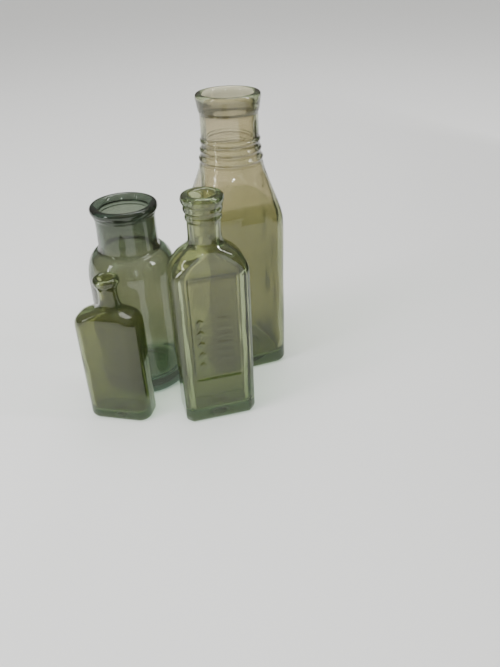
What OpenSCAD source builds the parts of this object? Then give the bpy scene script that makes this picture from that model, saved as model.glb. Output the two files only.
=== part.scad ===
// Group of four antique mould-blown glass bottles, standing close together.
// Each bottle is two pieces of glass: a blown body, and a lip applied to its neck.
// Origin: centre of the group's footprint, on the surface the bottles stand on. +Z is up.

/* [Tall square bottle] */
// Side of the square body
tall_side = 68.4; // [62:0.2:74]
// Radius of the body's upright corners
tall_corner = 10.9; // [8:0.1:14]
// Height where the shoulder starts
tall_shoulder_z = 140; // [130:1:150]
// Height where the shoulder meets the neck
tall_neck_z = 178; // [172:1:184]
// Height of the whole bottle
tall_height = 232.9; // [228:0.1:240]
// Height of the applied band lip
tall_lip_h = 13.5; // [11:0.5:16]
// Largest radius of the lip
tall_lip_r = 25.2; // [24.6:0.1:28]
// Radius of the mouth bore
tall_mouth_r = 19; // [16:0.1:19.4]
// Wall thickness
tall_wall = 3.4; // [2.6:0.1:4.2]
// Thickness of the base
tall_base = 8; // [6:0.5:10]

/* [Round jar] */
// Radius of the body
jar_r = 36.07; // [34:0.01:38]
// Height where the shoulder starts
jar_shoulder_z = 99.5; // [96:0.5:103]
// Height of the whole jar
jar_height = 160.5; // [158:0.1:166]
// Height of the rolled lip
jar_lip_h = 11.6; // [10:0.1:13]
// Largest radius of the rolled lip
jar_lip_r = 26.5; // [25.5:0.1:28]
// Radius of the mouth bore
jar_mouth_r = 19.3; // [17:0.1:19.4]
// Wall thickness
jar_wall = 3.6; // [2.8:0.1:4.4]
// Thickness of the base
jar_base = 10; // [7:0.5:12]

/* [Panelled bottle] */
// Width of the body
panel_w = 57.2; // [54:0.1:60]
// Depth of the body
panel_d = 32.1; // [30:0.1:34]
// Width of the bevel on the upright corners
panel_bevel = 3.6; // [2.5:0.1:4.5]
// Depth of the sunken panels
panel_sink = 1.3; // [0.6:0.1:1.6]
// Height of the whole bottle
panel_height = 185; // [182:0.1:190]
// Height of the double-ring lip
panel_lip_h = 18; // [17.5:0.5:20]
// Radius of the neck
panel_neck_r = 12.2; // [11.5:0.1:12.6]
// Radius of the cork bore
panel_mouth_r = 7.75; // [6.5:0.05:8.1]
// Wall thickness
panel_wall = 3.2; // [2.6:0.1:3.8]
// Thickness of the base
panel_base = 9; // [7:0.5:11]

/* [Small flat bottle] */
// Width of the body
small_w = 52.1; // [49:0.1:55]
// Depth of the body
small_d = 27.1; // [25:0.1:29]
// Radius of the body's upright corners
small_corner = 9.8; // [8:0.1:11]
// Height where the shoulder starts
small_shoulder_z = 84; // [82:0.5:86]
// Height of the whole bottle
small_height = 125; // [122:0.1:128]
// Height of the flared lip
small_lip_h = 9.5; // [8.5:0.1:10.5]
// Largest radius of the lip
small_lip_r = 9.9; // [9:0.1:11]
// Radius of the cork bore
small_mouth_r = 5; // [4.4:0.1:5.1]
// Wall thickness
small_wall = 2.7; // [2.2:0.1:3.2]
// Thickness of the base
small_base = 7; // [5:0.5:9]
// How far the neck leans off the middle of the body
small_lean = 3.2; // [0:0.1:4]

/* [Hidden] */

// where each bottle stands, and how far it is turned
tall_at  = [41.84, 32.8];   tall_yaw  = 18.9;
jar_at   = [-42.94, 3.33];
panel_at = [22.2, -51.55];   panel_yaw = 14.3;
small_at = [-55.83, -51.61];  small_yaw = -12.4;

// neck bores below the lips, a little wider than the mouths
tall_throat_r  = tall_mouth_r + 0.6;
jar_throat_r   = jar_mouth_r + 0.6;
panel_throat_r = panel_mouth_r + 0.4;
small_throat_r = small_mouth_r + 0.2;

// z where each neck stops and its lip starts
tall_seat  = tall_height - tall_lip_h;
jar_seat   = jar_height - jar_lip_h;
panel_seat = panel_height - panel_lip_h;
small_seat = small_height - small_lip_h;

$fn = 96;

module stand(at, yaw) translate([at[0], at[1], 0]) rotate([0, 0, yaw]) children();

// rectangle with round corners, centred
module round_rect(w, d, r, n = 48) {
    square([w - 2 * r, d], center = true);
    square([w, d - 2 * r], center = true);
    for (sx = [-1, 1], sy = [-1, 1])
        translate([sx * (w / 2 - r), sy * (d / 2 - r)]) circle(r = r, $fn = n);
}

// rectangle with bevelled corners, centred
module bevel_rect(w, d, b) {
    polygon([[-w / 2 + b, -d / 2], [w / 2 - b, -d / 2], [w / 2, -d / 2 + b], [w / 2, d / 2 - b],
             [w / 2 - b, d / 2], [-w / 2 + b, d / 2], [-w / 2, d / 2 - b], [-w / 2, -d / 2 + b]]);
}

// shallow dome pushed up under a base
module push_up(r, h) {
    big = (r * r + h * h) / (2 * h);
    rotate_extrude()
        polygon(concat([[0, -1], [r, -1]],
            [for (i = [0:8]) let (a = i / 8 * asin(r / big))
                [big * sin(asin(r / big) - a), h - big + big * cos(asin(r / big) - a)]]));
}

// ---------- tall square bottle ----------
module tall_bottle_body() {
    s = tall_side; c = tall_corner; i = s - 2 * tall_wall; ic = c - tall_wall + 1.5;
    n0 = tall_neck_z;
    color([0.47, 0.49, 0.40]) stand(tall_at, tall_yaw) difference() {
        union() {
            hull() {
                linear_extrude(0.4) round_rect(s - 8, s - 8, c - 3, 32);
                translate([0, 0, 1.4]) linear_extrude(0.4) round_rect(s - 2.4, s - 2.4, c - 1, 32);
                translate([0, 0, 4.5]) linear_extrude(tall_shoulder_z - 4.5) round_rect(s, s, c, 32);
                translate([0, 0, tall_shoulder_z + 9]) linear_extrude(0.4) round_rect(s - 3, s - 3, c + 3, 32);
                translate([0, 0, n0 - 0.4]) cylinder(r = 26.1, h = 0.4, $fn = 32);
            }
            // neck, with three moulded rings near its foot
            rotate_extrude() polygon([
                [0, n0 - 6], [26.3, n0 - 6], [26.2, n0], [25.3, n0 + 3.4], [25.2, n0 + 4.4], [25.8, n0 + 5.8],
                [25.7, n0 + 7], [24.4, n0 + 9.4], [24.1, n0 + 11], [24.8, n0 + 12.6], [24.7, n0 + 13.8],
                [23.6, n0 + 15.8], [23.5, n0 + 18], [24.1, n0 + 19.6], [24.0, n0 + 20.8], [23.1, n0 + 22.8],
                [22.9, n0 + 28], [22.9, tall_seat], [0, tall_seat]]);
        }
        // hollow of the body
        hull() {
            translate([0, 0, tall_base]) linear_extrude(0.4) round_rect(i - 12, i - 12, ic, 32);
            translate([0, 0, tall_base + 5]) linear_extrude(tall_shoulder_z - tall_base - 6) round_rect(i, i, ic, 32);
            translate([0, 0, n0 - 4]) cylinder(r = 22.4, h = 0.4, $fn = 32);
        }
        // throat
        rotate_extrude() polygon([[0, n0 - 6], [22.2, n0 - 6], [22.2, n0 - 3.6], [tall_throat_r, n0 + 14],
            [tall_throat_r, tall_seat + 1], [0, tall_seat + 1]]);
        push_up(24, 3.2);
    }
}

module tall_bottle_lip() {
    b = tall_seat; t = tall_height; r = tall_lip_r; m = tall_mouth_r;
    color([0.60, 0.57, 0.53]) stand(tall_at, tall_yaw) rotate_extrude() polygon([
        [m, b], [23.3, b], [23.8, b + 1.2], [24.2, b + 3.4], [24.6, b + 6], [r - 0.1, b + 9], [r, t - 2.4],
        [r - 0.4, t - 1.2], [r - 1.4, t - 0.3], [r - 2.6, t], [m + 1.6, t], [m + 0.5, t - 0.4], [m, t - 1.3]]);
}

// ---------- round jar ----------
module jar_body() {
    r = jar_r; n = 23.7; z0 = jar_shoulder_z; z1 = 124; w = jar_wall; q = jar_throat_r;
    color([0.40, 0.52, 0.47]) stand(jar_at, 0) difference() {
        rotate_extrude($fn = 128) polygon(concat(
            [[0, 0], [r - 5, 0], [r - 2.6, 0.7], [r - 0.8, 2.4], [r, 5]],
            [for (a = [0:10:80]) [n + 0.6 + (r - n - 0.6) * cos(a), z0 + (z1 - z0) * sin(a)]],
            [[n + 0.9, z1 + 1.1], [n + 0.3, z1 + 3.6], [23.8, 142], [n, jar_seat], [0, jar_seat]]));
        rotate_extrude($fn = 96) polygon(concat(
            [[0, jar_base], [r - w - 9, jar_base + 0.4], [r - w - 3, jar_base + 2.2], [r - w - 0.8, jar_base + 5], [r - w, jar_base + 9]],
            [for (a = [0:10:80]) [q + 0.6 + (r - w - q - 0.6) * cos(a), z0 - 1 + (z1 - z0 - 2) * sin(a)]],
            [[q, z1 + 1], [q, jar_seat + 1], [0, jar_seat + 1]]));
        push_up(25, 3.6);
    }
}

module jar_lip() {
    b = jar_seat; t = jar_height; r = jar_lip_r; m = jar_mouth_r;
    color([0.30, 0.42, 0.39]) stand(jar_at, 0) rotate_extrude($fn = 128) polygon([
        [m, b], [23.7, b], [23.7, t - 9.8], [24.2, t - 9.3], [24.5, t - 8.5], [24.3, t - 7.6], [r - 1.9, t - 7.0],
        [r - 1.1, t - 6.2], [r - 0.4, t - 5.1], [r, t - 3.7], [r, t - 2.5], [r - 0.5, t - 1.3], [r - 1.4, t - 0.4],
        [r - 2.6, t], [m + 3.3, t - 0.1], [m + 2.0, t - 0.7], [m + 1.0, t - 1.6], [m + 0.3, t - 2.9], [m, t - 4.4]]);
}

// ---------- panelled bottle ----------
// raised bars and lozenges in two upright columns, a plain ornament
module panel_relief() {
    for (k = [0:4])
        translate([-11.6, 54 + k * 9.5]) rotate(45) square(4.2, center = true);
    for (k = [0:5])
        translate([7, 58 + k * 7]) square([11, 2.2], center = true);
}

module panel_bottle_body() {
    w = panel_w; d = panel_d; b = panel_bevel; t = panel_wall; k = panel_sink;
    iw = w - 2 * t - 2 * k; id = d - 2 * t - 2 * k; n = panel_neck_r; q = panel_throat_r;
    color([0.44, 0.47, 0.36]) stand(panel_at, panel_yaw) difference() {
        union() {
            hull() {
                linear_extrude(0.4) bevel_rect(w - 9, d - 7, 4.5);
                translate([0, 0, 1.6]) linear_extrude(0.4) bevel_rect(w - 3, d - 2.4, 4.2);
                translate([0, 0, 5]) linear_extrude(123) bevel_rect(w, d, b);
                translate([0, 0, 135]) linear_extrude(0.4) bevel_rect(w - 3.6, d - 1.6, 6);
                translate([0, 0, 141.5]) linear_extrude(0.4) bevel_rect(w - 14, d - 5, 7.5);
                translate([0, 0, 148]) cylinder(r = n + 1.9, h = 0.4, $fn = 32);
            }
            rotate_extrude() polygon([[0, 140], [n + 2.6, 146], [n + 1, 149], [n + 0.3, 151.5], [n, 156],
                [n - 0.1, panel_seat - 2], [n + 0.1, panel_seat], [0, panel_seat]]);
        }
        // sunken panels on all four faces
        for (s = [-1, 1]) {
            translate([-18.3, s * (d / 2 + 5 - k) - 5, 41]) cube([36.6, 10, 83]);
            translate([s * (w / 2 + 5 - k) - 5, -9, 41]) cube([10, 18, 83]);
        }
        // hollow
        hull() {
            translate([0, 0, panel_base]) linear_extrude(0.4) bevel_rect(iw - 9, id - 6, 3);
            translate([0, 0, panel_base + 5]) linear_extrude(124 - panel_base) bevel_rect(iw, id, 3);
            translate([0, 0, 137.5]) linear_extrude(0.4) bevel_rect(iw - 12, id - 3, 5);
            translate([0, 0, 145]) cylinder(r = q, h = 0.4, $fn = 32);
        }
        translate([0, 0, 138]) cylinder(r = q, h = panel_seat - 137);
        push_up(10, 2);
    }
    color([0.44, 0.47, 0.36]) stand(panel_at, panel_yaw)
        translate([0, -d / 2 + k, 0]) rotate([90, 0, 0]) translate([0, 0, -0.6]) linear_extrude(1.3) panel_relief();
}

module panel_bottle_lip() {
    b = panel_seat; t = panel_height; m = panel_mouth_r;
    color([0.50, 0.52, 0.42]) stand(panel_at, panel_yaw) rotate_extrude() polygon([
        [m, b], [12.5, b], [13.1, t - 17.1], [13.1, t - 15.9], [12.5, t - 14.7], [12.5, t - 13.3], [13.3, t - 11.8],
        [14.0, t - 10.6], [14.0, t - 9.5], [13.6, t - 8.4], [14.2, t - 7], [15.1, t - 5], [15.3, t - 3.2],
        [14.9, t - 1.6], [13.9, t - 0.5], [12.4, t], [m + 1.8, t], [m + 0.6, t - 0.4], [m, t - 1.3]]);
}

// ---------- small flat bottle ----------
module small_bottle_body() {
    w = small_w; d = small_d; c = small_corner; t = small_wall; z = small_shoulder_z; q = small_throat_r;
    iw = w - 2 * t; id = d - 2 * t; ic = c - t;
    color([0.42, 0.44, 0.34]) stand(small_at, small_yaw) difference() {
        union() {
            hull() {
                linear_extrude(0.4) round_rect(w - 8, d - 6, c - 2.5, 32);
                translate([0, 0, 1.4]) linear_extrude(0.4) round_rect(w - 2.4, d - 2, c - 0.8, 32);
                translate([0, 0, 4.5]) linear_extrude(z - 4.5) round_rect(w, d, c, 32);
                translate([0, 0, z + 6.5]) linear_extrude(0.4) round_rect(w - 2.8, d - 1.6, c, 32);
                translate([0, 0, z + 11.6]) linear_extrude(0.4) round_rect(w - 13.6, d - 5.2, c - 0.4, 32);
                translate([small_lean, 0, z + 15.8]) cylinder(r = 9.6, h = 0.4, $fn = 32);
            }
            translate([small_lean, 0, 0]) rotate_extrude() polygon([[0, z + 9], [9.9, z + 15], [8.6, z + 17.4],
                [7.7, z + 20.4], [7.2, z + 24], [7.1, small_seat], [0, small_seat]]);
        }
        hull() {
            translate([0, 0, small_base]) linear_extrude(0.4) round_rect(iw - 9, id - 7, ic - 3, 32);
            translate([0, 0, small_base + 4]) linear_extrude(z - small_base - 4) round_rect(iw, id, ic, 32);
            translate([0, 0, z + 8.4]) linear_extrude(0.4) round_rect(iw - 11, id - 4, ic - 1.5, 32);
            translate([small_lean, 0, z + 12.6]) cylinder(r = q, h = 0.4, $fn = 32);
        }
        translate([small_lean, 0, z + 6]) cylinder(r = q, h = small_seat - z - 5);
        push_up(8, 1.6);
    }
}

module small_bottle_lip() {
    b = small_seat; t = small_height; m = small_mouth_r; r = small_lip_r;
    color([0.46, 0.50, 0.41]) stand(small_at, small_yaw) translate([small_lean, 0, 0]) rotate_extrude() polygon([
        [m, b], [7.2, b], [7.5, b + 1.2], [8.3, b + 3], [9.3, b + 4.6], [r, b + 6.2], [r, t - 1.9], [r - 0.5, t - 0.8],
        [r - 1.6, t - 0.1], [r - 2.6, t], [m + 1.3, t], [m + 0.4, t - 0.4], [m, t - 1.2]]);
}

tall_bottle_body();
tall_bottle_lip();
jar_body();
jar_lip();
panel_bottle_body();
panel_bottle_lip();
small_bottle_body();
small_bottle_lip();
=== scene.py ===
import math

import bpy
import numpy as np
from mathutils import Matrix, Vector


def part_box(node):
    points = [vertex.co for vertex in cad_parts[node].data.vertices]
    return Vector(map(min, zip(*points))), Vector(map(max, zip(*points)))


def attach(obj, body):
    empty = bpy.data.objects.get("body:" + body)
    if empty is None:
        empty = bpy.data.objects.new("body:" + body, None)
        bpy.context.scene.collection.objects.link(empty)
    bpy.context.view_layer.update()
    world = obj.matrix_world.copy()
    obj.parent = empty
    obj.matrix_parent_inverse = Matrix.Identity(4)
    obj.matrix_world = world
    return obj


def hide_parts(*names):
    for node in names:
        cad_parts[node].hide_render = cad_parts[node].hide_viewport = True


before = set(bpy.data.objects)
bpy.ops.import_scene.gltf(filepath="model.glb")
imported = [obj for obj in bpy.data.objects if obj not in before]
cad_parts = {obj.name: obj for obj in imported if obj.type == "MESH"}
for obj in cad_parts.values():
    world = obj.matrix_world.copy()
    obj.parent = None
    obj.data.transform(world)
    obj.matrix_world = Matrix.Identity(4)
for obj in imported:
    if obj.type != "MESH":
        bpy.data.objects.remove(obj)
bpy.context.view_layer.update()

# ---------------------------------------------------------------- camera
PITCH, ROLL = math.radians(32.31), math.radians(-2.374)
fwd = Vector((0, math.cos(PITCH), -math.sin(PITCH)))
right0, up0 = Vector((1, 0, 0)), Vector((0, math.sin(PITCH), math.cos(PITCH)))
right = right0 * math.cos(ROLL) + up0 * math.sin(ROLL)
up = up0 * math.cos(ROLL) - right0 * math.sin(ROLL)
cam_data = bpy.data.cameras.new("camera")
cam_data.lens = 33.772
cam_data.sensor_width = 36.0
cam_data.clip_start, cam_data.clip_end = 0.01, 60.0
cam = bpy.data.objects.new("camera", cam_data)
m = Matrix((right, up, -fwd)).transposed().to_4x4()
m.translation = Vector((0.05115, -0.4616, 0.330))
cam.matrix_world = m
bpy.context.scene.collection.objects.link(cam)
bpy.context.scene.camera = cam


# ---------------------------------------------------------------- shape helpers (millimetres)
def centre(node):
    lo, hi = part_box(node)
    return (lo.x + hi.x) * 500, (lo.y + hi.y) * 500


def top(node):
    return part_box(node)[1].z * 1000


def smooth(x, a, b):
    t = np.clip((x - a) / (b - a), 0, 1)
    return t * t * (3 - 2 * t)


def pchip(xk, yk, x):
    """Monotone cubic through the keys."""
    xk, yk = np.asarray(xk, float), np.asarray(yk, float)
    h, d = np.diff(xk), np.diff(yk) / np.diff(xk)
    s = np.zeros_like(yk)
    for i in range(1, len(xk) - 1):
        if d[i - 1] * d[i] > 0:
            w1, w2 = 2 * h[i] + h[i - 1], h[i] + 2 * h[i - 1]
            s[i] = (w1 + w2) / (w1 / d[i - 1] + w2 / d[i])
    s[0], s[-1] = d[0], d[-1]
    i = np.clip(np.searchsorted(xk, x) - 1, 0, len(h) - 1)
    t = (x - xk[i]) / h[i]
    return ((1 + 2 * t) * (1 - t) ** 2 * yk[i] + t * (1 - t) ** 2 * h[i] * s[i]
            + t * t * (3 - 2 * t) * yk[i + 1] + t * t * (t - 1) * h[i] * s[i + 1])


def section_rows(keys, zs):
    """keys: (z, half width, half depth, corner radius). Rows for the heights zs."""
    k = np.array(keys, float)
    o = np.argsort(k[:, 0])
    k = k[o]
    zs = np.asarray(zs, float)
    return np.stack([zs] + [pchip(k[:, 0], k[:, j], zs) for j in (1, 2, 3)], 1)


def round_rows(pts, step=0.6):
    """pts: (radius, z). A smooth curve through them, in short steps."""
    p = np.array(pts, float)
    q = np.vstack([2 * p[0] - p[1], p, 2 * p[-1] - p[-2]])
    out = []
    for i in range(1, len(q) - 2):
        n = max(2, int(math.ceil(np.linalg.norm(q[i + 1] - q[i]) / step)))
        for t in np.arange(n) / n:
            a = 2 * q[i]
            b = (q[i + 1] - q[i - 1]) * t
            c = (2 * q[i - 1] - 5 * q[i] + 4 * q[i + 1] - q[i + 2]) * t * t
            e = (-q[i - 1] + 3 * q[i] - 3 * q[i + 1] + q[i + 2]) * t ** 3
            out.append((a + b + c + e) / 2)
    out.append(p[-1])
    out = np.array(out)
    return np.stack([out[:, 1], out[:, 0], out[:, 0], out[:, 0]], 1)


def loft(rows, n, bevel=0.0):
    """One ring of n points for each row (z, half width, half depth, corner). bevel 1 makes the corners flat."""
    a = np.linspace(0, math.pi / 2, 19)
    f = np.arange(n // 4) / (n // 4)
    rings = []
    for z, hw, hd, c in rows:
        c = max(min(c, hw, hd), 1e-4)
        arc = np.stack([hw - c + c * np.cos(a), hd - c + c * np.sin(a)], 1)
        if bevel > 0:
            roundness = smooth(c, 7.0, 11.0) if hw > c + 0.01 else 1.0
            flat = np.stack([hw - c * (a / a[-1]), hd - c + c * (a / a[-1])], 1)
            k = bevel * (1 - roundness)
            arc = arc * (1 - k) + flat * k
        line = np.vstack([[[hw, 0]], arc, [[0, hd]]])
        d = np.concatenate([[0], np.cumsum(np.linalg.norm(np.diff(line, axis=0), axis=1))])
        q = np.stack([np.interp(f * d[-1], d, line[:, 0]), np.interp(f * d[-1], d, line[:, 1])], 1)
        r = np.stack([np.interp((1 - f) * d[-1], d, line[:, 0]), np.interp((1 - f) * d[-1], d, line[:, 1])], 1)
        ring = np.vstack([q, r * [-1, 1], -q, r * [1, -1]])
        rings.append(np.column_stack([ring, np.full(len(ring), z)]))
    return np.array(rings)


def waves(p, seed, size):
    """Soft, repeatable unevenness, about -1 to 1."""
    rng = np.random.RandomState(seed)
    v = np.zeros(p.shape[:-1])
    for k in range(9):
        d = rng.normal(size=3)
        d[2] *= 0.6
        d *= 2 * math.pi / (size * (0.6 + rng.rand())) / np.linalg.norm(d)
        v += np.sin(p @ d + rng.rand() * 2 * math.pi)
    return v / 4.2


def outward(p):
    d = p.copy()
    d[..., 2] = 0
    return d / np.maximum(np.linalg.norm(d, axis=-1, keepdims=True), 1e-6)


def groove(z, at, width, amount):
    """A band of painted shade round the glass at one height, where a groove or crease is."""
    return amount * np.exp(-((z - at) / width) ** 2)


def closed_mesh(name, rings, at, yaw, crease_shade):
    """A closed skin through all the rings, with a fan at each end. crease_shade: painted shade, 0 to 1 for each point
    of the first rings.
    """
    nr, n, _ = rings.shape
    c, s = math.cos(math.radians(yaw)), math.sin(math.radians(yaw))
    p = rings.reshape(-1, 3)
    ends = np.array([rings[0].mean(0), rings[-1].mean(0)])
    p = np.vstack([p, ends])
    q = np.column_stack([p[:, 0] * c - p[:, 1] * s + at[0], p[:, 0] * s + p[:, 1] * c + at[1], p[:, 2]]) / 1000
    i, j = np.meshgrid(np.arange(nr - 1), np.arange(n), indexing="ij")
    a, b = i * n + j, i * n + (j + 1) % n
    quads = np.stack([a, b, b + n, a + n], -1).reshape(-1, 4)
    faces = [tuple(x) for x in quads.tolist()]
    last = (nr - 1) * n
    faces += [(nr * n, (k + 1) % n, k) for k in range(n)]
    faces += [(nr * n + 1, last + k, last + (k + 1) % n) for k in range(n)]
    mesh = bpy.data.meshes.new(name)
    mesh.from_pydata(q.tolist(), [], faces)
    mesh.validate()
    mesh.polygons.foreach_set("use_smooth", [True] * len(mesh.polygons))
    # painted shade: the crease_shade values go onto the mesh as a point attribute that darkens the glass colour
    g = np.zeros(len(p))
    g[:crease_shade.size] = np.clip(crease_shade.reshape(-1), 0, 1)
    mesh.attributes.new("crease_shade", "FLOAT", "POINT").data.foreach_set("value", g)
    mesh.update()
    ob = bpy.data.objects.new(name, mesh)
    bpy.context.scene.collection.objects.link(ob)
    return ob


def heights(a, b, step):
    return np.linspace(a, b, max(2, int(round(abs(b - a) / step)) + 1))


def base_rows(hw, hd, c, inset, heel, dome, rise):
    """Underside: a pushed-up dome, the flat rim it stands on, and the rounded heel."""
    big = (dome * dome + rise * rise) / (2 * rise)
    rows = [(rise - big + math.sqrt(big * big - r * r), r, r, r) for r in np.linspace(0.6, dome, 14)]
    for t in (0.25, 0.6, 1.0):
        w, d = dome + (hw - inset - dome) * t, dome + (hd - inset - dome) * t
        rows.append((0.0, w, d, min(w, d, dome + (max(c - inset * 0.7, 2.0) - dome) * t)))
    for a in np.linspace(0, math.pi / 2, 9)[1:]:
        k = 1 - math.sin(a)
        rows.append((heel * (1 - math.cos(a)), hw - inset * k, hd - inset * k, c - inset * 0.7 * k))
    rows = np.array(rows)
    rows[:, 0] = np.maximum(rows[:, 0], 0.12)  # a hair of air under the glass
    return rows


def inner_floor(hw, hd, c, z, lift, inset, curve):
    """Top of the thick base inside: slightly domed in the middle, rounded up into the walls. Ordered from wall to centre."""
    rows = []
    for a in np.linspace(math.pi / 2, 0, 10)[1:]:
        k = 1 - math.sin(a)
        rows.append((z + curve * (1 - math.cos(a)), hw - inset * k, hd - inset * k, max(c - inset * 0.5 * k, 1.5)))
    w0, d0, c0 = hw - inset, hd - inset, max(c - inset * 0.5, 1.5)
    for t in np.linspace(0.92, 0.02, 14):
        w, d = w0 * t, d0 * t
        rows.append((z + lift * (1 - t * t) ** 2, w, d, min(w, d, c0 * t + (min(w, d) - c0 * t) * (1 - t))))
    return np.array(rows)


# ---------------------------------------------------------------- tall square bottle
T_AT, T_YAW = centre("tall_bottle_lip"), 18.9
TH = top("tall_bottle_lip")


def tall_bottle():
    hs, c = 34.1, 10.9
    outer = [base_rows(hs, hs, c, 4.4, 4.6, 24, 3.2),
             section_rows([(4.6, hs, hs, c), (60, hs, hs, c), (128, hs, hs, c), (137, 33.95, 33.95, 11.1),
                           (143, 33.2, 33.2, 11.9), (150, 31.7, 31.7, 13.6), (160, 29.3, 29.3, 17.6),
                           (170, 27.3, 27.3, 22.6), (178, 26.15, 26.15, 26.15), (179, 26.1, 26.1, 26.1)],
                          np.concatenate([heights(6, 126, 3), heights(127, 177.6, 1.0)])),
             round_rows([(26.0, 178.4), (25.6, 180.2), (25.2, 181.6), (25.25, 182.8), (25.75, 183.8), (25.7, 185.0),
                         (24.9, 186.2), (24.2, 187.8), (24.0, 189.2), (24.5, 190.3), (24.75, 191.2), (24.5, 192.3),
                         (23.8, 193.4), (23.45, 195), (23.45, 196.4), (23.95, 197.4), (24.1, 198.2), (23.8, 199.2),
                         (23.2, 200.3), (23.0, 202), (22.95, 206), (22.85, 211),
                         (22.85, 216), (22.95, 218.2), (23.3, 219.3), (23.7, 220.4), (24.0, 222), (24.35, 224.6),
                         (24.8, 227.4), (25.1, 229.6), (25.1, 230.8), (24.7, 232.0), (23.9, 232.7), (22.6, TH),
                         (21.0, TH - 0.15), (19.9, TH - 0.7), (19.2, TH - 1.9), (19.0, TH - 4)], 0.55)]
    inner = [round_rows([(19.0, TH - 6), (19.05, 220), (19.5, 212), (19.6, 202), (19.8, 194), (20.8, 186), (22.0, 179)], 1.6),
             section_rows([(178, 22.2, 22.2, 22.2), (170, 23.5, 23.5, 19.5), (160, 25.6, 25.6, 14.0), (150, 28.2, 28.2, 10.4),
                           (143, 29.7, 29.7, 9.0), (137, 30.4, 30.4, 8.4), (128, 30.6, 30.6, 8.2), (60, 30.5, 30.5, 8.2),
                           (14, 30.2, 30.2, 8.2)],
                          np.concatenate([heights(177, 127, 1.6), heights(124, 16, 3)])),
             inner_floor(30.2, 30.2, 8.2, 8.2, 1.6, 7.0, 6.0)]
    no = sum(len(x) for x in outer)
    rings = loft(np.vstack(outer + inner), 256)
    o, i = rings[:no], rings[no:]
    z = o[..., 2]
    o += outward(o) * ((waves(o, 3, 46) - 1.0) * 0.16 * smooth(z, 4, 16) * smooth(z, 232, 226))[..., None]
    seam = np.exp(-((o[..., 1] / 0.45) ** 2)) * (o[..., 2] > 5) * (o[..., 2] < 214)
    o += outward(o) * (0.14 * seam * smooth(z, 6, 12) * smooth(z, 216, 205))[..., None]
    z = i[..., 2]
    i += outward(i) * (waves(i, 5, 34) * 0.55 * smooth(z, 9, 24) * smooth(z, 228, 205))[..., None]
    i[..., 2] += waves(i, 6, 40) * 0.5 * smooth(z, 16, 9)
    z = o[..., 2]
    # painted shade in the grooves of the rings on the neck and under the lip
    g = (groove(z, 181.4, 0.9, 0.5) + groove(z, 187.9, 0.9, 0.55) + groove(z, 194.8, 0.9, 0.55) + groove(z, 200.6, 0.8, 0.35)
         + groove(z, 218.2, 0.8, 0.3))
    return closed_mesh("tall_square_bottle", rings, T_AT, T_YAW, g)


# ---------------------------------------------------------------- round jar
J_AT = centre("jar_lip")
JH = top("jar_lip")


def round_jar():
    R = 36.0
    sh = [(24.7 + (R - 24.7) * math.cos(a), 99.5 + 23.8 * math.sin(a)) for a in np.radians([3, 10, 20, 30, 40, 50, 60, 69, 77, 83])]
    outer = [base_rows(R, R, R, 5.2, 5.2, 25, 3.6),
             section_rows([(5.2, R, R, R), (50, R, R, R), (99.5, R, R, R)], heights(7, 99, 3)),
             round_rows(sh + [(24.9, 124.0), (24.3, 125.4), (24.0, 128), (23.85, 134), (23.75, 142), (23.65, 148), (23.7, 150.6), (24.15, 151.3),
                              (24.45, 152.0), (24.3, 152.8), (24.5, 153.5), (25.3, 154.3), (26.0, 155.4), (26.4, 156.8), (26.4, 158.0),
                              (25.95, 159.2), (25.0, 160.1), (23.8, JH), (22.6, JH - 0.1), (21.3, JH - 0.7),
                              (20.3, JH - 1.7), (19.6, JH - 3.1), (19.3, JH - 4.6)], 0.6)]
    q = [(20.4 + (32.3 - 20.4) * math.cos(a), 98.5 + 22.2 * math.sin(a)) for a in np.radians([84, 77, 68, 58, 48, 38, 28, 18, 8])]
    inner = [round_rows([(19.3, JH - 6.6), (19.5, 148), (19.9, 142), (20.0, 130), (20.4, 122.6)] + q + [(32.4, 97)], 1.5),
             section_rows([(97, 32.4, 32.4, 32.4), (50, 32.3, 32.3, 32.3), (19, 31.9, 31.9, 31.9)], heights(94, 20, 3)),
             inner_floor(31.9, 31.9, 31.9, 10.2, 2.6, 8.5, 8.0)]
    no = sum(len(x) for x in outer)
    rings = loft(np.vstack(outer + inner), 200)
    o, i = rings[:no], rings[no:]
    z = o[..., 2]
    o += outward(o) * ((waves(o, 13, 50) - 1.0) * 0.2 * smooth(z, 4, 18) * smooth(z, 150, 140))[..., None]
    o[..., 2] += waves(o * [1, 1, 0], 14, 60) * 0.25 * smooth(z, 148, 157) - 0.25 * smooth(z, 148, 157)
    seam = np.exp(-((o[..., 1] / 0.45) ** 2)) * smooth(z, 6, 12) * smooth(z, 146, 138)
    o += outward(o) * (0.14 * seam)[..., None]
    z = i[..., 2]
    i += outward(i) * (waves(i, 15, 36) * 0.7 * smooth(z, 12, 26) * smooth(z, 156, 136))[..., None]
    i[..., 2] += waves(i, 16, 40) * 0.6 * smooth(z, 18, 10)
    z = o[..., 2]
    # painted shade at the shoulder's join to the neck, under the lip, and over the whole lip
    g = groove(z, 124.2, 1.1, 0.4) + groove(z, 151.4, 0.7, 0.45) + groove(z, 153.2, 0.6, 0.45) + 0.5 * smooth(z, 152, 155)
    return closed_mesh("round_jar", rings, J_AT, 20, g)


# ---------------------------------------------------------------- panelled bottle
P_AT, P_YAW = centre("panel_bottle_lip"), 14.3
PH = top("panel_bottle_lip")


def plate(u, v, hu, hv, soft, r=1.2):
    """1 inside a rounded rectangle, 0 outside, with a soft edge."""
    du, dv = np.abs(u) - hu + r, np.abs(v) - hv + r
    d = np.hypot(np.maximum(du, 0), np.maximum(dv, 0)) + np.minimum(np.maximum(du, dv), 0) - r
    return smooth(-d, -soft, soft)


def relief(u, z):
    """Plain ornament on the front panel: a column of lozenges and a column of bars."""
    h = np.zeros_like(u)
    for k in range(5):
        a, b = u + 11.6, z - 54 - 9.5 * k
        h = np.maximum(h, 1.5 * plate((a + b) * 0.7071, (a - b) * 0.7071, 2.1, 2.1, 0.5, 0.5))
    for k in range(6):
        h = np.maximum(h, 0.8 * plate(u - 7, z - 58 - 7 * k, 5.5, 1.1, 0.6, 0.8))
    return h


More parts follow.
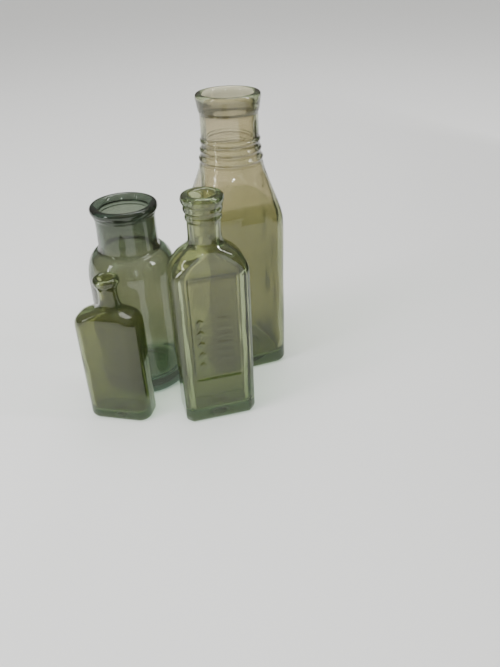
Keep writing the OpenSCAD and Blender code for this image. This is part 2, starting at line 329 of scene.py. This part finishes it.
def panel_bottle():
    hw, hd, c, n = 28.5, 15.95, 3.7, 12.2
    outer = [base_rows(hw, hd, c + 1.2, 4.0, 5.0, 9.5, 2.0),
             section_rows([(5.0, hw, hd, c), (60, hw, hd, c), (126, hw, hd, c), (130, 28.2, 15.85, 4.4), (134.5, 27.1, 15.6, 6.0),
                           (138.5, 24.9, 15.2, 8.2), (142.5, 21.4, 14.9, 10.4), (145.8, 17.6, 14.5, 12.2), (148.4, 14.6, 13.8, 13.2),
                           (150.2, 13.2, 13.1, 13.0)],
                          np.concatenate([heights(6, 39, 1.5), heights(39.6, 126, 0.62), heights(126.6, 150, 0.8)])),
             round_rows([(13.0, 150.6), (12.6, 152), (12.3, 154.5), (12.15, 158), (12.1, 162), (12.15, 165.4), (12.45, 166.5),
                         (12.95, 167.4), (13.15, 168.5), (13.05, 169.6), (12.8, 170.6), (12.85, 171.6), (13.2, 172.6),
                         (13.75, 173.6), (14.0, 174.7), (13.95, 175.9), (13.85, 177.0), (14.1, 178.0), (14.7, 179.2), (15.15, 180.6), (15.3, 182.0), (15.0, 183.3),
                         (14.4, 184.3), (13.4, PH - 0.15), (12.0, PH), (10.4, PH - 0.1), (9.1, PH - 0.5), (8.2, PH - 1.4),
                         (7.8, PH - 3)], 0.45)]
    inner = [round_rows([(7.75, PH - 5), (7.8, 170), (8.1, 164), (8.15, 156), (8.3, 150), (8.8, 147)], 1.4),
             section_rows([(146, 9.2, 9.2, 9.2), (143.5, 11.2, 10.2, 9.4), (140, 15.4, 10.9, 8.2), (136, 20.4, 11.4, 6.4),
                           (131, 23.6, 11.7, 4.8), (126, 24.4, 11.8, 4.0), (70, 24.3, 11.7, 4.0), (15, 24.0, 11.4, 4.0)],
                          np.concatenate([heights(146, 127, 1.2), heights(125, 16, 2.2)])),
             inner_floor(24.0, 11.4, 4.0, 8.8, 1.2, 5.0, 5.4)]
    no = sum(len(x) for x in outer)
    rings = loft(np.vstack(outer + inner), 320, bevel=0.85)
    o, i = rings[:no], rings[no:]
    x, y, z = o[..., 0].copy(), o[..., 1].copy(), o[..., 2].copy()
    wall = smooth(z, 20, 30) * smooth(z, 140, 132)
    front = (y < -hd + 1.0) * wall
    back = (y > hd - 1.0) * wall
    side = (np.abs(x) > hw - 1.0) * wall
    # the panel ends under an overhanging ledge at its top, and runs out softly at its foot
    ledge = 1 - (1 - np.clip((129.2 - z) / 5.4, 0, 1)) ** 2.2
    hollow = plate(x, z * 0, 18.3, 50, 0.7, 1.5) * ledge * smooth(z, 38.5, 43.5)
    o[..., 1] += front * (1.3 + 0.9 * smooth(z, 100, 123)) * hollow - back * 0.5 * plate(x, z - 82.5, 18.3, 40, 2.5, 4.0)
    mark = relief(x, z) * hollow
    o[..., 1] -= front * 0.5 * mark
    # painted shade along the ledge at the panel's top, round the edges of the raised ornament, and in the neck's
    # grooves
    g = (front * plate(x, z * 0, 18.6, 50, 1.0, 1.5) * (0.6 * smooth(z, 122.5, 125.5) * smooth(z, 130, 128.8) + groove(z, 129.0, 0.7, 0.55))
         + front * 1.8 * np.clip(mark, 0, 1) * (1 - np.clip(mark, 0, 1))
         + groove(z, 166.0, 0.7, 0.45) + groove(z, 171.1, 0.7, 0.4) + groove(z, 177.0, 0.6, 0.3))
    o[..., 0] -= np.sign(x) * side * 1.2 * plate(y, z - 82.5, 9.0, 41.5, 0.9, 2.0)
    o += outward(o) * ((waves(o, 23, 38) - 1.0) * 0.12 * smooth(z, 4, 14) * smooth(z, 166, 156))[..., None]
    seam = np.exp(-((y / 0.4) ** 2)) * smooth(z, 6, 12) * smooth(z, 166, 158) * (1 - side * 0.6)
    o += outward(o) * (0.12 * seam)[..., None]
    x, y, z = i[..., 0], i[..., 1], i[..., 2]
    follow = smooth(z, 20, 36) * smooth(z, 134, 122)
    i[..., 1] -= np.sign(y) * 0.5 * follow * smooth(np.abs(y), 9.0, 11.0) * np.exp(-((x / 17) ** 4))
    i += outward(i) * (waves(i, 25, 30) * 0.5 * smooth(z, 10, 24) * smooth(z, 150, 136))[..., None]
    i[..., 2] += waves(i, 26, 30) * 0.45 * smooth(z, 14, 9)
    return closed_mesh("panelled_bottle", rings, P_AT, P_YAW, g)


# ---------------------------------------------------------------- small flat bottle
S_AT, S_YAW, S_LEAN = centre("small_bottle_lip"), -12.4, 3.2
SH = top("small_bottle_lip")


def small_bottle():
    hw, hd, c = 25.95, 13.45, 9.8
    outer = [base_rows(hw, hd, c, 3.8, 4.6, 8, 1.6),
             section_rows([(4.6, hw, hd, c), (40, hw, hd, c), (85, hw, hd, c), (88.8, 25.7, 13.25, 9.9), (91.6, 24.8, 12.9, 10.1),
                           (94.2, 22.8, 12.3, 10.4), (96.1, 19.4, 11.5, 10.4), (97.6, 15.2, 10.6, 10.0), (99.2, 11.4, 9.6, 9.4), (101, 9.6, 9.2, 9.1)],
                          np.concatenate([heights(6, 82, 2.4), heights(83, 100.8, 0.7)])),
             round_rows([(9.0, 101.6), (8.2, 103.2), (7.6, 105.4), (7.25, 108), (7.15, 111), (7.2, 114.2), (7.5, 115.8),
                         (8.1, 117.3), (8.9, 118.8), (9.55, 120.2), (9.85, 121.7), (9.85, 123.0), (9.4, 124.1), (8.5, SH - 0.15), (7.4, SH),
                         (6.3, SH - 0.2), (5.5, SH - 0.8), (5.05, SH - 2)], 0.4)]
    inner = [round_rows([(5.0, SH - 3.5), (5.05, 115), (5.2, 111), (5.2, 103), (5.6, 99.4)], 1.2),
             section_rows([(98.8, 5.8, 5.8, 5.8), (96.6, 8.0, 7.2, 6.6), (94.2, 12.8, 8.6, 7.2), (91.2, 18.6, 9.8, 7.4),
                           (88, 22.0, 10.5, 7.2), (84, 23.1, 10.75, 7.1), (40, 23.1, 10.7, 7.1), (12, 22.9, 10.5, 7.0)],
                          np.concatenate([heights(98.4, 85, 1.0), heights(83, 13, 2.4)])),
             inner_floor(22.9, 10.5, 7.0, 6.8, 1.0, 4.6, 4.6)]
    no = sum(len(x) for x in outer)
    rings = loft(np.vstack(outer + inner), 200)
    o, i = rings[:no], rings[no:]
    z = o[..., 2]
    o += outward(o) * ((waves(o, 33, 34) - 1.0) * 0.13 * smooth(z, 4, 12) * smooth(z, 114, 106))[..., None]
    seam = np.exp(-((o[..., 1] / 0.4) ** 2)) * smooth(z, 6, 12) * smooth(z, 110, 102)
    o += outward(o) * (0.12 * seam)[..., None]
    z = i[..., 2]
    i += outward(i) * (waves(i, 35, 26) * 0.45 * smooth(z, 8, 18) * smooth(z, 100, 90))[..., None]
    i[..., 2] += waves(i, 36, 26) * 0.4 * smooth(z, 11, 7)
    # the neck stands a little off the middle of the body
    rings[..., 0] += S_LEAN * (smooth(rings[..., 2], 88, 106) - 1.0)
    z = o[..., 2]
    # painted shade in a groove on the neck and where the neck meets the shoulder
    g = groove(z, 115.6, 1.0, 0.4) + groove(z, 101.5, 1.2, 0.25)
    return closed_mesh("small_flat_bottle", rings, S_AT, S_YAW, g)


# ---------------------------------------------------------------- glass
def glass(name, tint, low_tint, absorb, density, seed, haze_max=0.2, z_fade=(0.0, 0.2), clear=0.95, coat=0.0, lip_shade_tint=None, lip_shade_z=(0.15, 0.153)):
    """Old hand-blown glass: tinted body, uneven thickness, fine waves, a little haze and rubbed dust, with painted
    shade in creases and on a darker lip.
    """
    mat = bpy.data.materials.new(name)
    mat.use_nodes = True
    nt = mat.node_tree
    N, L = nt.nodes, nt.links
    N.clear()
    out = N.new("ShaderNodeOutputMaterial")
    p = N.new("ShaderNodeBsdfPrincipled")
    p.inputs["IOR"].default_value = 1.5
    p.inputs["Transmission Weight"].default_value = clear
    p.inputs["Coat Weight"].default_value = coat
    p.inputs["Coat Roughness"].default_value = 0.025
    geo = N.new("ShaderNodeTexCoord")

    def mapping(scale, off):
        mp = N.new("ShaderNodeMapping")
        mp.inputs["Scale"].default_value = scale
        mp.inputs["Location"].default_value = (off, off * 0.7, off * 1.3)
        L.new(geo.outputs["Object"], mp.inputs["Vector"])
        return mp

    def noise(scale, detail, sx=(1, 1, 1), off=0.0, rough=0.5):
        n = N.new("ShaderNodeTexNoise")
        n.inputs["Scale"].default_value = scale
        n.inputs["Detail"].default_value = detail
        n.inputs["Roughness"].default_value = rough
        L.new(mapping(sx, off).outputs["Vector"], n.inputs["Vector"])
        return n

    def ramp(src, a, b, ca=0.0, cb=1.0):
        r = N.new("ShaderNodeMapRange")
        r.inputs["From Min"].default_value, r.inputs["From Max"].default_value = a, b
        r.inputs["To Min"].default_value, r.inputs["To Max"].default_value = ca, cb
        L.new(src, r.inputs["Value"])
        return r

    # colour: from the foot's tint to the top's, mottled by slow striae
    sep = N.new("ShaderNodeSeparateXYZ")
    L.new(geo.outputs["Object"], sep.inputs["Vector"])
    up_mix = ramp(sep.outputs["Z"], z_fade[0], z_fade[1])
    striae = noise(26, 3, (1, 1, 0.25), seed)
    col = N.new("ShaderNodeMix")
    col.data_type = "RGBA"
    col.inputs["A"].default_value = (*low_tint, 1)
    col.inputs["B"].default_value = (*tint, 1)
    L.new(up_mix.outputs["Result"], col.inputs["Factor"])
    # painted shade: above lip_shade_z the colour turns to lip_shade_tint; only the jar sets a darker one
    lip = N.new("ShaderNodeMix")
    lip.data_type = "RGBA"
    lip.inputs["B"].default_value = (*(lip_shade_tint or tint), 1)
    L.new(col.outputs["Result"], lip.inputs["A"])
    L.new(ramp(sep.outputs["Z"], lip_shade_z[0], lip_shade_z[1]).outputs["Result"], lip.inputs["Factor"])
    mot = N.new("ShaderNodeMix")
    mot.data_type = "RGBA"
    mot.blend_type = "MULTIPLY"
    mot.inputs["B"].default_value = (0.90, 0.92, 0.86, 1)
    L.new(ramp(striae.outputs["Fac"], 0.42, 0.68).outputs["Result"], mot.inputs["Factor"])
    L.new(lip.outputs["Result"], mot.inputs["A"])
    # painted shade: where the crease_shade attribute is set, the colour is multiplied down almost to black
    crease_shade = N.new("ShaderNodeAttribute")
    crease_shade.attribute_name = "crease_shade"
    shade_mix = N.new("ShaderNodeMix")
    shade_mix.data_type = "RGBA"
    shade_mix.blend_type = "MULTIPLY"
    shade_mix.inputs["B"].default_value = (0.05, 0.06, 0.04, 1)
    L.new(crease_shade.outputs["Fac"], shade_mix.inputs["Factor"])
    L.new(mot.outputs["Result"], shade_mix.inputs["A"])
    L.new(shade_mix.outputs["Result"], p.inputs["Base Color"])

    # roughness: polished, with a breath of haze and rubbed dust
    haze = noise(34, 5, (1, 1, 1), seed + 3, 0.62)
    specks = noise(420, 2, (1, 1, 1), seed + 5)
    dust = ramp(specks.outputs["Fac"], 0.64, 0.74, 0.0, 0.10)
    base = ramp(haze.outputs["Fac"], 0.40, 0.75, 0.4 * haze_max, haze_max)
    add = N.new("ShaderNodeMath")
    add.operation = "ADD"
    L.new(base.outputs["Result"], add.inputs[0])
    L.new(dust.outputs["Result"], add.inputs[1])
    worn = N.new("ShaderNodeMath")
    worn.operation = "ADD"
    L.new(add.outputs["Value"], worn.inputs[0])
    L.new(ramp(sep.outputs["Z"], 0.0003, 0.0022, 0.5, 0.0).outputs["Result"], worn.inputs[1])
    L.new(worn.outputs["Value"], p.inputs["Roughness"])

    # surface: slow waves, whittle marks and tiny pits
    w1 = noise(38, 2, (1, 1, 0.55), seed + 7)
    w2 = noise(150, 2, (1, 1, 0.4), seed + 9)
    w3 = noise(900, 1, (1, 1, 1), seed + 11)
    b1 = N.new("ShaderNodeBump")
    b1.inputs["Strength"].default_value = 0.5
    b1.inputs["Distance"].default_value = 0.0016
    L.new(w1.outputs["Fac"], b1.inputs["Height"])
    b2 = N.new("ShaderNodeBump")
    b2.inputs["Strength"].default_value = 0.35
    b2.inputs["Distance"].default_value = 0.00035
    L.new(w2.outputs["Fac"], b2.inputs["Height"])
    L.new(b1.outputs["Normal"], b2.inputs["Normal"])
    b3 = N.new("ShaderNodeBump")
    b3.inputs["Strength"].default_value = 0.25
    b3.inputs["Distance"].default_value = 0.00004
    L.new(ramp(w3.outputs["Fac"], 0.58, 0.70).outputs["Result"], b3.inputs["Height"])
    L.new(b2.outputs["Normal"], b3.inputs["Normal"])
    L.new(b3.outputs["Normal"], p.inputs["Normal"])

    # lamps reach what stands behind the glass
    lp = N.new("ShaderNodeLightPath")
    tr = N.new("ShaderNodeBsdfTransparent")
    tr.inputs["Color"].default_value = (0.93, 0.95, 0.91, 1)
    mx = N.new("ShaderNodeMixShader")
    L.new(lp.outputs["Is Shadow Ray"], mx.inputs["Fac"])
    L.new(p.outputs["BSDF"], mx.inputs[1])
    L.new(tr.outputs["BSDF"], mx.inputs[2])
    L.new(mx.outputs["Shader"], out.inputs["Surface"])
    vol = N.new("ShaderNodeVolumeAbsorption")
    vol.inputs["Color"].default_value = (*absorb, 1)
    vol.inputs["Density"].default_value = density
    L.new(vol.outputs["Volume"], out.inputs["Volume"])
    return mat


def put(ob, mat, body, slot, *nodes):
    ob.data.materials.append(mat)
    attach(ob, body)
    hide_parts(*nodes)
    return ob


put(tall_bottle(), glass("glass_clear_olive", (0.81, 0.71, 0.555), (0.42, 0.40, 0.23), (0.38, 0.56, 0.40), 85, 1.0, 0.03, (0.11, 0.22), 0.97),
    "tall_bottle", "glass_clear_olive", "tall_bottle_body", "tall_bottle_lip")
# the jar's pale foot tint is painted light that lightens the thick base; its dark tint from 120 mm up over the neck and
# lip is painted shade
put(round_jar(), glass("glass_teal", (0.53, 0.49, 0.37), (0.90, 0.94, 0.80), (0.34, 0.54, 0.50), 165, 4.0, 0.04, (0.006, 0.022), 0.95, 0.0,
                       (0.34, 0.345, 0.275), (0.120, 0.132)),
    "jar", "glass_teal", "jar_body", "jar_lip")
put(panel_bottle(), glass("glass_olive", (0.60, 0.575, 0.355), (0.30, 0.315, 0.13), (0.30, 0.54, 0.44), 70, 7.0, 0.06, (0.0, 0.14), 0.955, 0.1),
    "panel_bottle", "glass_olive", "panel_bottle_body", "panel_bottle_lip")
put(small_bottle(), glass("glass_moss", (0.39, 0.39, 0.20), (0.24, 0.255, 0.10), (0.30, 0.54, 0.44), 70, 9.0, 0.06, (0.0, 0.1), 0.955, 0.1),
    "small_bottle", "glass_moss", "small_bottle_body", "small_bottle_lip")


# ---------------------------------------------------------------- floor, lamps, world
def simple(name, color, rough):
    mat = bpy.data.materials.new(name)
    mat.use_nodes = True
    b = mat.node_tree.nodes["Principled BSDF"]
    b.inputs["Base Color"].default_value = (*color, 1)
    b.inputs["Roughness"].default_value = rough
    return mat


fm = bpy.data.meshes.new("floor")
S = 14.0
fm.from_pydata([(-S, -S, 0), (S, -S, 0), (S, S, 0), (-S, S, 0)], [], [(0, 1, 2, 3)])
floor = bpy.data.objects.new("floor", fm)
fm.materials.append(simple("floor", (0.80, 0.80, 0.79), 0.75))
bpy.context.scene.collection.objects.link(floor)


def lamp(name, loc, aim, sx, sy, watts, color=(1, 1, 1)):
    d = bpy.data.lights.new(name, "AREA")
    d.shape = "RECTANGLE"
    d.size, d.size_y, d.energy, d.color = sx, sy, watts, color
    o = bpy.data.objects.new(name, d)
    v = Vector(aim) - Vector(loc)
    o.location = loc
    o.rotation_euler = v.to_track_quat("-Z", "Y").to_euler()
    bpy.context.scene.collection.objects.link(o)
    return o


key = lamp("key", (-0.95, -0.55, 1.35), (0, 0, 0.1), 0.55, 0.8, 13)
key.visible_glossy = False
lamp("top", (0.25, 0.7, 1.9), (0, 0, 0.0), 1.3, 0.8, 14)
lamp("strip", (1.35, -0.25, 0.9), (0, 0, 0.12), 0.16, 0.9, 7)
lamp("strip_left", (-1.25, -0.75, 0.8), (0, 0, 0.15), 0.12, 0.9, 4.5)
for k, (az, el) in enumerate(((-74, 25), (-75, 15), (-12, 28), (-14, 15))):
    a, e = math.radians(az), math.radians(el)
    lamp("dot_%d" % k, (-0.03 + 1.3 * math.cos(e) * math.cos(a), 1.3 * math.cos(e) * math.sin(a), 0.116 + 1.3 * math.sin(e)),
         (-0.03, -0.02, 0.116), 0.035, 0.035, 2.6)
# a dark card out of view on the right gives the glass its darker right edges
cm = bpy.data.meshes.new("dark_card")
cm.from_pydata([(0.40, -0.45, 0), (0.62, 0.55, 0), (0.62, 0.55, 0.34), (0.40, -0.45, 0.34)], [], [(0, 1, 2, 3)])
card = bpy.data.objects.new("dark_card", cm)
cm.materials.append(simple("card", (0.03, 0.035, 0.025), 0.9))
bpy.context.scene.collection.objects.link(card)

sun = bpy.data.lights.new("sky", "SUN")
sun.energy, sun.angle = 2.0, math.radians(60)
so = bpy.data.objects.new("sky", sun)
so.rotation_euler = (math.radians(18), math.radians(-14), 0)
so.visible_glossy = so.visible_transmission = False
bpy.context.scene.collection.objects.link(so)

# a dim studio with a brighter ceiling; the camera itself sees a pale wall
world = bpy.data.worlds.new("world")
bpy.context.scene.world = world
world.use_nodes = True
wn, wl = world.node_tree.nodes, world.node_tree.links
wn.clear()
wo = wn.new("ShaderNodeOutputWorld")
dark, pale = wn.new("ShaderNodeBackground"), wn.new("ShaderNodeBackground")
tc, sep = wn.new("ShaderNodeTexCoord"), wn.new("ShaderNodeSeparateXYZ")
wl.new(tc.outputs["Generated"], sep.inputs["Vector"])
ceiling = wn.new("ShaderNodeValToRGB")
ceiling.color_ramp.elements[0].position, ceiling.color_ramp.elements[0].color = 0.0, (0.075, 0.075, 0.065, 1)
ceiling.color_ramp.elements[1].position, ceiling.color_ramp.elements[1].color = 0.9, (0.42, 0.42, 0.40, 1)
wl.new(sep.outputs["Z"], ceiling.inputs["Fac"])
wl.new(ceiling.outputs["Color"], dark.inputs["Color"])
pale.inputs["Color"].default_value = (0.72, 0.72, 0.71, 1)
wmix, wlp = wn.new("ShaderNodeMixShader"), wn.new("ShaderNodeLightPath")
wl.new(wlp.outputs["Is Camera Ray"], wmix.inputs["Fac"])
wl.new(dark.outputs["Background"], wmix.inputs[1])
wl.new(pale.outputs["Background"], wmix.inputs[2])
wl.new(wmix.outputs["Shader"], wo.inputs["Surface"])
